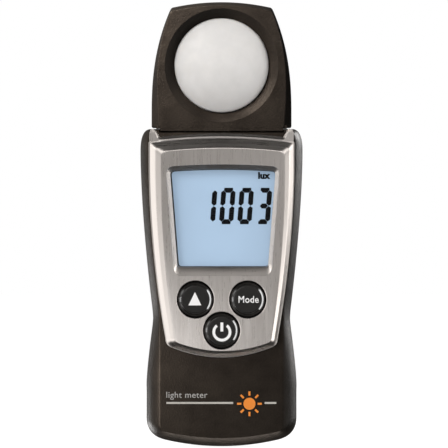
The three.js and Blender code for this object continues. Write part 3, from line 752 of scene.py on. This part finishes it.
def make_bezel():
    profile = [(BEZEL_BACK_Y, 0.0), (-10.45, 0.0), (-10.5, 0.1), (-11.4, 0.5), (FACE_Y, 1.0), (FACE_Y, 2.0)]
    levels = rounded(profile, [0.05, 0.08, 0.8, 0.28], 8)[:-1]
    plate = loft("bezel_plate", [(y, bezel_outline(s)) for y, s in levels])
    bevel, depth = 1.15, 1.25

    def shelf(margin):
        """How far the opening reaches down at a margin: a short wall at the display, then a long slope."""
        wall, reach = 0.25, 2.6
        return reach * max(0.02 * margin, (margin / bevel - wall) / (1 - wall)) ** 1.2

    slope = [(bevel * (1 - i / 8), FACE_Y + depth * i / 8) for i in range(1, 9)]
    lip = rounded([(bevel, FACE_Y - 1), (bevel, FACE_Y), slope[0]], [0.2], 6)[:-1] + slope + [(0.0, -9.0)]
    window = loft("window", [(y, window_outline(m, shelf(m), m * 1.15)) for m, y in lip])
    wells = []
    for x, z in KEYS.values():
        flare = [(KEY_HOLE + 0.3 * (1 - math.cos(a)), FACE_Y + 0.3 - 0.3 * math.sin(a))
                 for a in (i * math.pi / 12 for i in range(7))]
        wells.append(turned("well", [(KEY_HOLE, -9.0), *flare, (KEY_HOLE + 0.3, -13.0)], x, z, ROUND))
    combine(plate, [window, *wells])
    return piece(shade(plate, 40), HOUSING, METAL, ["bezel"])


def make_bezel_rail():
    """The raised lip along the bezel's top, whose ends turn up into horns beside the head.

    Its section has a foot, a crest and a wall behind, and the lists give their places up the horn.
    """
    straight = 16.6
    foot_end = [(18.4, 85.8), (20.3, 86.1), (20.42, 87.3), (20.36, 88.8), (20.0, 89.85)]
    crest_end = [(17.7, 86.9), (18.05, 87.3), (18.4, 88.2), (18.8, 89.2), (19.3, 89.93)]
    crest_y = [-10.65, -10.58, -10.5, -10.42, -10.3]
    wall_end = [(17.3, 87.6), (17.6, 87.8), (18.0, 88.45), (18.5, 89.4), (19.15, 89.98)]
    count = 26
    sections = []
    for i in range(count + 1):
        x = straight * i / count
        crest = BEZEL_TOP - BEZEL_ARCH * x * x
        sections.append(((x, crest - 0.8), (x, crest), (x, crest + 0.9), -10.7))
    ends = list(zip(foot_end, crest_end, wall_end, crest_y))
    fine = 6
    for before, after in zip([sections[-1], *ends], ends):
        for k in range(1, fine + 1):
            t = k / fine
            mix = [tuple(lerp(p, q, t) for p, q in zip(before[n], after[n])) for n in range(3)]
            sections.append((*mix, lerp(before[3], after[3], t)))
    loops = []
    for foot, crest, wall, top in sections:
        line = [
            (foot, BEZEL_BACK_Y),
            (foot, BEZEL_BACK_Y - 0.42),
            (crest, top),
            (wall, -10.04),
            (wall, BEZEL_BACK_Y),
        ]
        points = [(x, y, z) for (x, z), y in line]
        loops.append(rounded(points, [0.08, 0.12, 0.05], 4))
    mirror = [[(-x, y, z) for x, y, z in loop] for loop in reversed(loops[1:])]
    rail = new_object("bezel_rail", *bridged(mirror + loops))
    return piece(shade(rail, 60), HOUSING, METAL)


# ---- Display ----

LCD_Y = -8.3
SEGMENTS = {
    "0": "abcdef",
    "1": "bc",
    "3": "abcdg",
}


def flat_piece(name, polygons, y, thick=0.03):
    """Thin raised shapes from closed polygons in x and z, whose fronts are at y - thick."""
    verts, faces = [], []
    for polygon in polygons:
        start = len(verts)
        points, sides = bridged([[(x, y - thick, z) for x, z in polygon], [(x, y, z) for x, z in polygon]])
        verts += points
        faces += [tuple(start + i for i in face) for face in sides]
    return new_object(name, verts, faces)


def digit_polygons(text, right, base, width, height, pitch, slant):
    """Seven-segment digits that end at x = right."""
    t, gap = 1.4, 0.04
    w, h, m = width, height, height / 2
    top = [(t / 2 + gap, h - t / 2), (t + gap, h - t), (w - t - gap, h - t), (w - t / 2 - gap, h - t / 2)]
    top += [(w - t * 0.6, h), (t * 0.6, h)]
    side = [(w - t / 2, h - t / 2 - gap), (w, h - t * 0.9), (w, m + t * 0.35), (w - t / 2, m + gap)]
    side += [(w - t, m + t / 2 + gap), (w - t, h - t - gap)]
    bar = [(t * 0.6 + gap, m), (t + gap, m + t / 2), (w - t - gap, m + t / 2), (w - t * 0.6 - gap, m)]
    bar += [(w - t - gap, m - t / 2), (t + gap, m - t / 2)]
    flipped = lambda points: [(x, h - z) for x, z in points]
    swapped = lambda points: [(w - x, z) for x, z in points]
    shapes = {"a": top, "b": side, "c": flipped(side), "d": flipped(top), "g": bar}
    shapes |= {"e": swapped(shapes["c"]), "f": swapped(side)}
    found = []
    for place, digit in enumerate(reversed(text)):
        x0 = right - slant * height - width - place * pitch
        for letter in SEGMENTS[digit]:
            found.append([(x0 + x + slant * z, base + z) for x, z in shapes[letter]])
    return found


def text_piece(name, words, x, z, width, y, thick=0.03, bold=0.0, height=None):
    """Raised lettering whose front is at y - thick, stretched to a width, and to a height if one is given.

    x is the middle of the words and z their lowest point.
    """
    data = bpy.data.curves.new(name, "FONT")
    data.body = words
    data.size = 2.6 * MM
    data.offset = bold * MM
    data.space_character = 1.06
    data.extrude = thick / 2 * MM
    data.resolution_u = 5
    text = add_object(name + "_text", data)
    bpy.context.view_layer.update()
    mesh = bpy.data.meshes.new_from_object(text.evaluated_get(bpy.context.evaluated_depsgraph_get()))
    bpy.data.objects.remove(text)
    across, up = ([v.co[i] for v in mesh.vertices] for i in (0, 1))
    stretch = width * MM / (max(across) - min(across))
    rise = height * MM / (max(up) - min(up)) if height else stretch
    middle, low = (min(across) + max(across)) / 2, min(up)
    for v in mesh.vertices:
        right, upward, out = v.co
        new_x = x * MM + (right - middle) * stretch
        new_z = z * MM + (upward - low) * rise
        v.co = (new_x, (y - thick / 2) * MM - out, new_z)
    with editing(mesh) as bm:
        bmesh.ops.remove_doubles(bm, verts=bm.verts, dist=TOUCHING)
        bmesh.ops.recalc_face_normals(bm, faces=bm.faces)
    return add_object(name, mesh)


def make_seal_with_painted_shade():
    """A dark seal round the display, wide on the left, thin at top and bottom, and almost gone on the right:
    painted shade where the opening's edge shades the display.
    """
    seal_and_shade = loft("window_seal_painted_shade", [(y, even_window(-0.02)) for y in (-9.98, -9.93)])
    # The opening is moved right, so the dark band is widest on the left: painted shade
    opening = [(x + 0.2, z) for x, z in even_window(-0.24)]
    combine(seal_and_shade, [loft("opening", [(-10.2, opening), (-9.8, opening)])])
    piece(shade(seal_and_shade), HOUSING, RUBBER)


def make_display():
    digits = digit_polygons("1003", 14.4, 63.0, 4.05, 10.3, 5.17, 0.075)
    ink = flat_piece("lcd_digits", digits, LCD_Y - 0.005, 0.04)
    piece(ink, HOUSING, LCD_INK)
    unit = text_piece("lcd_unit", "lux", 12.1, 75.75, 3.5, LCD_Y - 0.005, 0.04, 0.17, 2.0)
    piece(unit, HOUSING, LCD_INK)
    lens = loft("display_window", [(y, even_window(0.85)) for y in (-9.9, -8.95)])
    piece(shade(lens), HOUSING, LENS, ["display_lens"])


# ---- Keys ----


def make_keys():
    for name, (x, z) in KEYS.items():
        body = name + "_key"
        edge = [(3.9, KEY_TOP_Y + 0.15), (3.94, KEY_TOP_Y + 0.04), (4.02, KEY_TOP_Y + 0.02)]
        edge += [(4.9, KEY_TOP_Y + 0.45), (5.05, KEY_TOP_Y + 1.2)]
        edge += [(5.05, -8.25), (5.55, -8.25), (5.55, -7.5)]
        skirt = rounded(edge, [0.04, 0.1, 0.25, 0.3, 0.1, 0.1], 9)
        cap = turned(name + "_key_top", [(3.0, KEY_TOP_Y + 0.15), *skirt], x, z, 96)
        piece(shade(cap, 50), body, KEY_GLOSS, [name + "_key_cap"])
        flat = [(3.6, KEY_TOP_Y), (3.86, KEY_TOP_Y + 0.02), (3.93, KEY_TOP_Y + 0.15)]
        face = turned(name + "_key_face", flat, x, z, 96)
        piece(shade(face, 60), body, KEY_FACE)


def make_key_symbols():
    front = KEY_TOP_Y + 0.002
    x, z = KEYS["up"]
    triangle = [(x - 1.95, z - 1.65), (x + 1.7, z - 1.65), (x - 0.12, z + 2.1)]
    icon = flat_piece("up_key_triangle", [triangle], front)
    piece(icon, "up_key", PRINT_WHITE)
    x, z = KEYS["mode"]
    word = text_piece("mode_key_word", "Mode", x + 0.25, z - 0.95, 5.7, front, bold=0.025, height=1.95)
    piece(word, "mode_key", PRINT_WHITE)
    x, z = KEYS["power"]
    arc, half_gap = [], math.radians(38)
    steps = 48
    for radius, order in ((2.68, range(steps + 1)), (1.9, range(steps, -1, -1))):
        for i in order:
            a = math.pi / 2 + half_gap + (2 * math.pi - 2 * half_gap) * i / steps
            arc.append((x + 0.1 + radius * math.cos(a), z - 0.4 + radius * math.sin(a)))
    bar = [(x - 0.3, z - 0.25), (x + 0.5, z - 0.25), (x + 0.5, z + 2.3), (x - 0.3, z + 2.3)]
    icon = flat_piece("power_key_symbol", [arc, bar], front)
    piece(icon, "power_key", PRINT_WHITE)


# ---- Printing on the apron ----


def make_printing():
    y = FRONT_Y - 0.005
    strips = [[(a, 12.15), (b, 12.15), (b, 12.7), (a, 12.7)] for a, b in ((-15.6, 3.3), (12.2, 15.5))]
    piece(flat_piece("apron_line", strips, y), HOUSING, PRINT_SILVER)
    words = text_piece("apron_words", "light meter", -9.8, 13.3, 11.6, y)
    piece(words, HOUSING, PRINT_GREY)
    x, z = 7.9, 12.2
    sun = [circle(1.7, x, z, 40)]
    for i in range(8):
        a = i * math.pi / 4
        along, across = (math.cos(a), math.sin(a)), (-math.sin(a), math.cos(a))
        ray = [(2.3, -0.28), (3.5, -0.28), (3.5, 0.28), (2.3, 0.28)]
        sun.append([(x + r * along[0] + s * across[0], z + r * along[1] + s * across[1]) for r, s in ray])
    piece(flat_piece("sun_mark", sun, y), HOUSING, PRINT_AMBER)


# ---- Sensor head ----

CHIN_BOTTOM = 89.4
HEAD_START = 0.05  # half the gap between the head's two shells


def head_loft(name, levels, wall=0.0):
    return loft(name, [(y, head_outline(s, wall)) for y, s in levels])


def make_head_front():
    side = [(-HEAD_START, 0.0), (-5.0, 0.02), (HEAD_FRONT_Y, 1.0), (HEAD_FRONT_Y, 1.6)]
    profile = rounded(side, [3.0, 0.25], 7)
    shell = head_loft("head_front", profile[:-1])
    hollow = head_loft("hollow", [(0.5, 0.0), (-5.2, 0.06), (-6.6, 0.4)], WALL)
    combine(hollow, [rod("drum", 17, -9, -4.5, 0, DOME_Z, ROUND)])
    combine(shell, [hollow])
    neck = [
        box("stem", -16, 16, -6.2, -HEAD_START, 84.2, 91.3),
        box("collar", -17.6, 17.6, -7.2, -HEAD_START, 84.2, 87.2),
        box("chin", -17.45, 17.45, HEAD_FRONT_Y + 0.02, -6.8, CHIN_BOTTOM, 91.0),
        box("skirt", -18.5, 18.5, -7.9, -HEAD_START, 90.04, 91.0),
    ]
    combine(shell, neck, "UNION")
    recess = [(17.4, HEAD_FRONT_Y - 1), (16.1, HEAD_FRONT_Y), (13.6, -5.6), (13.42, -5.5), (13.42, -4.0)]
    cone = rounded(recess, [0.35, 0.15, 0.1], 5)
    tools = [
        rod("seat", 15.4, -4.5, 2, 0, DOME_Z, ROUND),
        turned("cone", cone, 0, DOME_Z, ROUND),
        box("cable_way", *CABLE_WAY),
    ]
    combine(shell, tools)
    return piece(shade(shell), HOUSING, SHELL, ["head_front_shell"])


def make_head_rear():
    profile = rounded([(HEAD_START, 0.0), (4.6, 0.02), (HEAD_REAR_Y, 1.0), (HEAD_REAR_Y, 1.6)], [3.0, 0.3], 7)
    shell = head_loft("head_rear", profile[:-1])
    ridge = head_outline(0.0, SEAM_DEPTH)
    combine(shell, [loft("ridge", [(-HEAD_START, ridge), (0.3, ridge)])], "UNION")
    combine(shell, [head_loft("hollow", [(-1, 0.0), (5.9, 0.1)], WALL)])
    neck = [
        box("stem", -16, 16, HEAD_START, 5.9, 84.2, 91.3),
        box("collar", -17.6, 17.6, HEAD_START, 6.9, 84.2, 87.2),
    ]
    combine(shell, neck, "UNION")
    combine(shell, [box("cable_way", *CABLE_WAY)])
    return piece(shade(shell), HOUSING, SHELL, ["head_rear_shell"])


def make_dome():
    rim_y, apex_y, wall, steps = -6.0, -11.4, 1.5, 36
    height = rim_y - apex_y

    def cap(radius, apex, rise):
        sphere = (radius * radius + rise * rise) / (2 * rise)
        reach = math.asin(radius / sphere)
        angles = [reach * (i + 0.5) / (steps + 0.5) for i in range(steps + 1)]
        return [(sphere * math.sin(a), apex + sphere * (1 - math.cos(a))) for a in angles]

    outside = cap(DOME_RADIUS, apex_y, height)
    inside = cap(DOME_RADIUS - wall, apex_y + wall, height - 0.9)
    flange = [outside[-1], (DOME_RADIUS, -4.45), (14.9, -4.45), (14.9, -3.5), (11.8, -3.5), inside[-1]]
    skirt = rounded(flange, [0.1] * 4, 3)
    dome = turned("dome", outside[:-1] + skirt + inside[-2::-1], 0, DOME_Z, ROUND)
    return piece(shade(dome, 50), HOUSING, OPAL, ["diffuser_dome"])


# ---- Back ----


def make_screws():
    for name, (x, z) in SCREWS.items():
        shank = [(0.6, -3.0), (0.9, -2.2), (0.9, 8.9)]
        head = rounded([(0.9, 8.9), (1.6, 8.9), (1.6, 9.6), (1.2, 9.9), (0.5, 9.93)], [0.05, 0.12, 0.2], 4)
        screw = turned(name + "_screw_head", shank + head[1:], x, z, SMALL_ROUND)
        slots = []
        for dx, dz in ((1.0, 0.2), (0.2, 1.0)):
            levels = []
            for y, s in ((9.4, 0.55), (11.0, 1.0)):
                left, right, low, high = x - dx * s, x + dx * s, z - dz * s, z + dz * s
                levels.append((y, [(left, low), (right, low), (right, high), (left, high)]))
            slots.append(loft("slot", levels))
        combine(screw, slots)
        piece(shade(screw, 35), HOUSING, STEEL, [name + "_screw"])


def make_label():
    y0, y1 = REAR_Y - 0.2, REAR_Y - 0.05
    outline = mirrored(rounded([(0, 66.15), (12.85, 66.15), (12.85, 81.85), (0, 81.85)], [0.8, 0.8], 5))
    label = loft("blank_label", [(y0, outline), (y1, outline)])
    piece(shade(label), HOUSING, FOIL, ["rear_label"])


# ---- Parts that keep their CAD shape ----

KEPT = {
    "lcd_glass": LCD,
    "backlight_panel": WHITE,
    "lcd_frame": WHITE,
    "zebra_strip": RUBBER,
    "main_board": BOARD,
    "sensor_board": BOARD,
    "microcontroller": CHIP,
    "crystal": STEEL,
    "capacitor": STEEL,
    "sensor_socket": WHITE,
    "left_cell": WRAP,
    "right_cell": WRAP,
    "lower_contact_spring": STEEL,
    "upper_contact_spring": STEEL,
    "lower_contact_bridge": STEEL,
    "positive_contact": STEEL,
    "negative_contact": STEEL,
    "positive_lead": LEAD_RED,
    "negative_lead": LEAD_BLACK,
    "dome_retaining_ring": CHIP,
    "filter_holder": CHIP,
    "colour_filter": FILTER,
    "photodiode": STEEL,
    "sensor_flat_cable": FILM,
}


def finish_kept():
    for name, material in KEPT.items():
        set_material(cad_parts[name], material)
    for name in KEYS:
        set_material(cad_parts[name + "_switch_plunger"], WHITE)
        set_material(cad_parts[name + "_switch_body"], CHIP)


make_front_case()
make_rear_case()
make_battery_door()
make_bezel()
make_bezel_rail()
make_display()
make_seal_with_painted_shade()
make_keys()
make_key_symbols()
make_printing()
make_head_front()
make_head_rear()
make_dome()
make_screws()
make_label()
finish_kept()

# ---- Stage, light and camera ----


def make_floor():
    mesh = bpy.data.meshes.new("floor")
    reach = 6.0
    corners = [(-reach, -reach, 0), (reach, -reach, 0), (reach, reach, 0), (-reach, reach, 0)]
    mesh.from_pydata(corners, [], [(0, 1, 2, 3)])
    floor = add_object("floor", mesh)
    m = Nodes("floor_white")
    m.drive("Base Color", m.mixed(m.noise(3.0), (0.13, 0.13, 0.13), (0.15, 0.15, 0.15)))
    m.set(Roughness=0.9, Specular_IOR_Level=0.0, Emission_Strength=0.95)
    m.shader.inputs["Emission Color"].default_value = (1.0, 1.0, 1.0, 1.0)
    floor.data.materials.append(m.material)
    floor.visible_glossy = False
    floor.visible_diffuse = False
    floor.visible_shadow = False


class Sky:
    """The studio as the object sees it: soft boxes placed by azimuth and elevation, in degrees.

    Azimuth 0 is in front of the object and 90 to its right. The camera itself sees plain white.
    """

    def __init__(self):
        world = bpy.data.worlds.new("studio")
        bpy.context.scene.world = world
        world.use_nodes = True
        self.tree = world.node_tree
        self.tree.nodes.clear()
        place = self.add("ShaderNodeTexCoord")
        split = self.add("ShaderNodeSeparateXYZ")
        self.link(place.outputs["Generated"], split.inputs["Vector"])
        forward = self.math("MULTIPLY", split.outputs["Y"], -1.0)
        self.azimuth = self.math("DEGREES", self.math("ARCTAN2", split.outputs["X"], forward))
        self.elevation = self.math("DEGREES", self.math("ARCSINE", split.outputs["Z"]))
        self.total = None

    def add(self, kind):
        return self.tree.nodes.new(kind)

    def link(self, a, b):
        self.tree.links.new(a, b)

    def math(self, operation, *values):
        node = self.add("ShaderNodeMath")
        node.operation = operation
        for socket, value in zip(node.inputs, values):
            if isinstance(value, (int, float)):
                socket.default_value = value
            else:
                self.link(value, socket)
        return node.outputs[0]

    def window(self, angle, middle, half, soft):
        """1 within half of the middle, falling to 0 over a further soft degrees."""
        away = self.math("ABSOLUTE", self.math("SUBTRACT", angle, middle))
        node = self.add("ShaderNodeMapRange")
        node.interpolation_type = "SMOOTHSTEP"
        limits = {"From Min": half, "From Max": half + soft, "To Min": 1.0, "To Max": 0.0}
        for socket, number in limits.items():
            node.inputs[socket].default_value = number
        self.link(away, node.inputs["Value"])
        return node.outputs["Result"]

    def soft_box(self, azimuth, elevation, level):
        """azimuth and elevation are each (middle, half, soft)."""
        round_back = azimuth[0] == 180
        around = self.math("ABSOLUTE", self.azimuth) if round_back else self.azimuth
        both = self.math("MULTIPLY", self.window(around, *azimuth), self.window(self.elevation, *elevation))
        lit = self.math("MULTIPLY", both, level)
        self.total = lit if self.total is None else self.math("ADD", self.total, lit)

    def finish(self):
        lit, white = self.add("ShaderNodeBackground"), self.add("ShaderNodeBackground")
        tint = self.add("ShaderNodeCombineXYZ")
        for socket, share in zip(tint.inputs, STUDIO_TINT):
            self.link(self.math("MULTIPLY", self.total, share), socket)
        self.link(tint.outputs["Vector"], lit.inputs["Color"])
        white.inputs["Color"].default_value = (1, 1, 1, 1)
        path, mix, out = (self.add("ShaderNode" + n) for n in ("LightPath", "MixShader", "OutputWorld"))
        self.link(path.outputs["Is Camera Ray"], mix.inputs["Fac"])
        self.link(lit.outputs["Background"], mix.inputs[1])
        self.link(white.outputs["Background"], mix.inputs[2])
        self.link(mix.outputs["Shader"], out.inputs["Surface"])


def make_world():
    everywhere = (0, 180, 1)
    sky = Sky()
    sky.soft_box(everywhere, (0, 90, 1), 0.04)
    sky.soft_box((-10, 60, 50), (4, 12, 26), 0.27)
    sky.soft_box((-72, 16, 30), (0, 20, 16), 1.45)
    sky.soft_box((70, 4, 12), (0, 20, 16), 3.1)
    sky.soft_box((52, 6, 12), (0, 20, 16), 0.45)
    sky.soft_box((-135, 15, 20), (10, 30, 20), 0.3)
    sky.soft_box((180, 50, 30), (58, 12, 12), 0.6)
    sky.soft_box((0, 60, 20), (22, 4, 6), 1.7)
    sky.soft_box((0, 60, 20), (-18, 2, 3), 1.2)
    sky.finish()


def add_light(name, place, target, width, height, power, colour=(1, 1, 1), only=(), but_not=(), spread=180):
    """A softbox, with places in metres. It lights the objects named in only, or all but those in but_not."""
    data = bpy.data.lights.new(name, "AREA")
    data.shape, data.size, data.size_y = "RECTANGLE", width, height
    data.energy, data.color, data.spread = power, colour, math.radians(spread)
    light = add_object(name, data)
    light.location = place
    light.rotation_euler = (Vector(target) - Vector(place)).to_track_quat("-Z", "Y").to_euler()
    linked = bpy.data.collections.new(name + "_linked")
    for other in (*only, *but_not):
        linked.objects.link(bpy.data.objects[other])
    for link in linked.collection_objects:
        link.light_linking.link_state = "INCLUDE" if only else "EXCLUDE"
    light.light_linking.receiver_collection = linked


def make_lights():
    """The lamps. Each lights chosen pieces only, or leaves some out, so they aren't one real studio."""
    shell_tint, cone_tint = (1.0, 0.93, 0.86), (1.0, 0.95, 0.9)
    middle, keys = (0.0, 0.0, 0.063), (0.0, -0.01, 0.04)
    head_middle, dome_centre = (0.0, 0.0, 0.11), (0.0, 0.0, 0.108)
    cases = ["front_shell", "rear_shell"]
    shells = [*cases, "head_front", "head_rear"]
    metal = ["bezel_plate", "bezel_rail"]
    fronts = ["front_shell", "head_front", *metal]
    backs = [*cases, "head_rear", "battery_door_panel"]
    caps = [name + "_key_top" for name in KEYS]
    own_lamps = [*shells, *metal, *caps]
    head = ["head_front"]
    add_light("key", (-0.6, -0.75, 0.8), middle, 0.4, 0.4, 6.3, STUDIO_TINT, but_not=own_lamps)
    add_light("shell_key", (-0.06, -0.07, 0.17), head_middle, 0.04, 0.04, 0.2, shell_tint, shells, spread=80)
    add_light("cone_key", (-0.122, -0.1, 0.23), dome_centre, 0.06, 0.06, 0.06, cone_tint, head, spread=60)
    add_light("shell_side", (-0.06, -0.06, 0.03), (0.0, 0.0, 0.02), 0.04, 0.04, 0.2, shell_tint, cases)
    add_light("shell_low", (0.0, 0.0, -0.2), (0.0, 0.0, 0.0), 0.2, 0.1, 0.8, shell_tint, cases)
    add_light("dome_fill", (0.2, -0.3, 0.0), dome_centre, 0.1, 0.1, 0.12, only=["dome"])
    add_light("metal_low", (-0.035, -0.14, 0.015), (-0.01, 0.0, 0.03), 0.05, 0.05, 0.013, only=metal)
    add_light("metal_right", (0.05, -0.14, 0.09), (0.016, 0.0, 0.07), 0.05, 0.05, 0.002, only=metal)
    add_light("flank_left", (-0.5, 0.55, -0.2), middle, 0.3, 0.3, 3.4, only=["front_shell"])
    add_light("right_glint", (0.27, -0.21, 0.04), keys, 0.12, 0.4, 2.5, only=caps)
    add_light("left_glint", (-0.27, -0.21, 0.04), keys, 0.06, 0.08, 0.09, only=caps)
    add_light("back_left", (-0.5, 0.6, 0.4), middle, 0.5, 0.5, 8.0, but_not=fronts)
    add_light("back_right", (0.6, 0.5, 0.35), middle, 0.5, 0.5, 12.0, only=backs)
    add_light("back_key", (0.1, 0.9, 0.4), middle, 0.6, 0.6, 6.0, but_not=fronts)


def make_camera():
    """A long lens, level with the middle of the object, square on to its front."""
    view_height = 127.2  # millimetres of the object's plane that fill the picture
    data = bpy.data.cameras.new("camera")
    data.lens, data.sensor_width = 800.0, 36.0
    camera = add_object("camera", data)
    distance = data.lens * view_height / data.sensor_width * MM
    camera.location = (0.7 * MM, -distance, 63.05 * MM)
    camera.rotation_euler = (math.pi / 2, 0, 0)
    data.clip_end = 50.0
    bpy.context.scene.camera = camera


make_floor()
make_world()
make_lights()
make_camera()
bpy.context.scene.view_settings.view_transform = "Standard"
